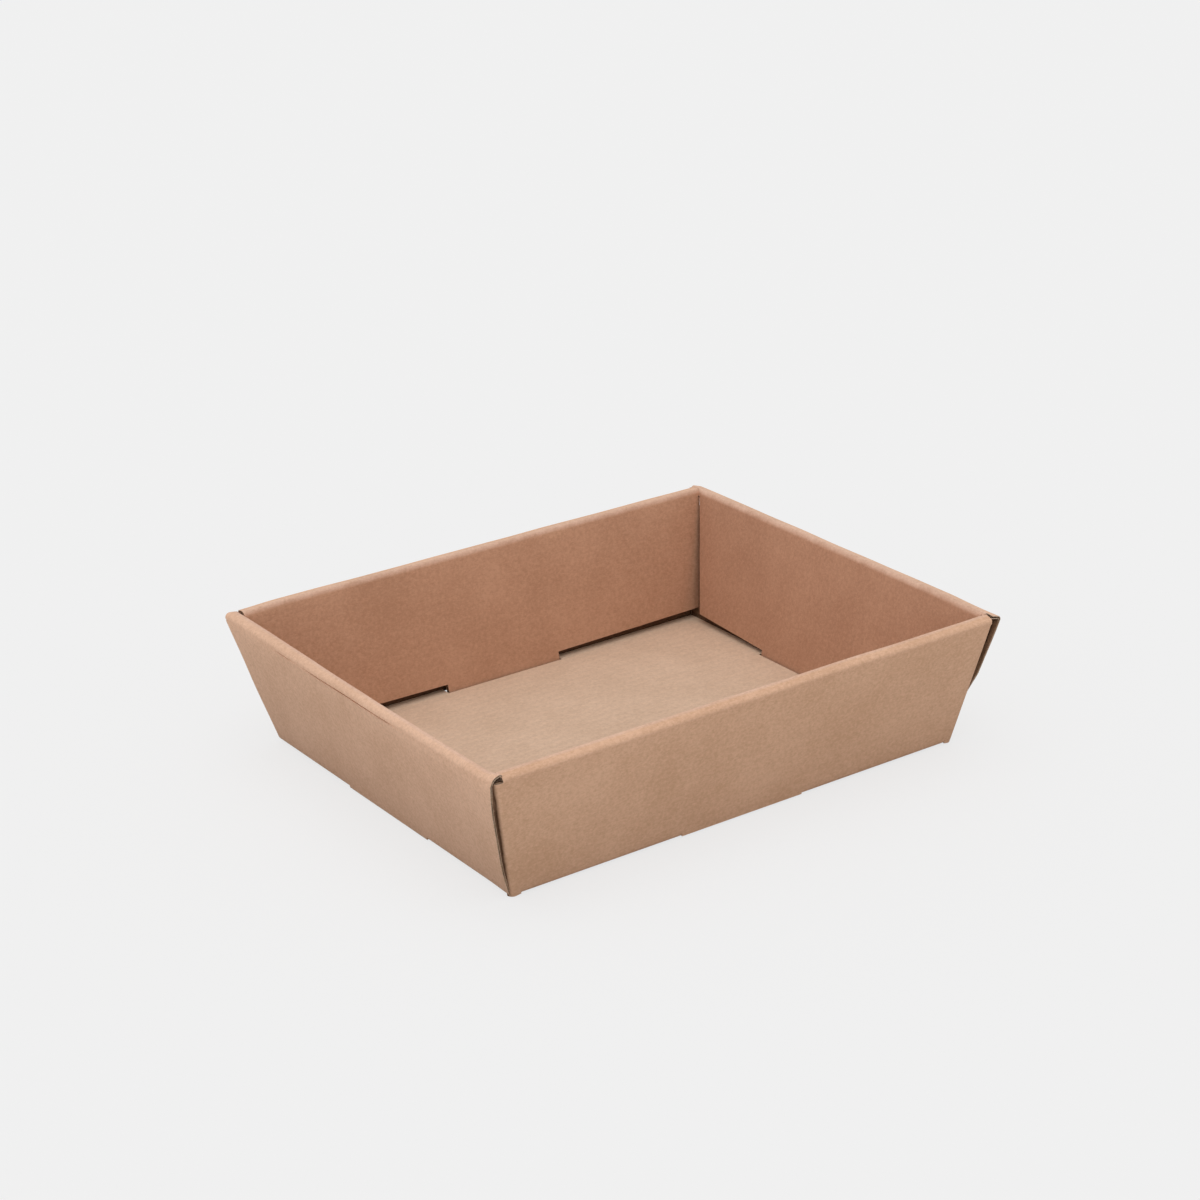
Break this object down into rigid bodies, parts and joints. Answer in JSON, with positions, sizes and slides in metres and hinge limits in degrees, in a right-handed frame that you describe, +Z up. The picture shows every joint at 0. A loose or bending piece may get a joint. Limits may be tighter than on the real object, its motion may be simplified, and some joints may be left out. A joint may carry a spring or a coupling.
{
  "type": "cardboard tray box",
  "caption": "Open rectangular tray box of folded corrugated cardboard, with leaning double walls, rolled rims and tabs locked into the base.",
  "frame": {"origin": "middle of the underside, on the surface that the tray stands on", "axes": "+X along the long walls, +Y along the end walls, +Z up out of the open top"},
  "size_m": [0.3428, 0.2734, 0.08],
  "materials": {
    "kraft_board": "matte kraft liner"
  },
  "bodies": {
    "root": {"tray": "kraft_board"}
  },
  "joints": []
}
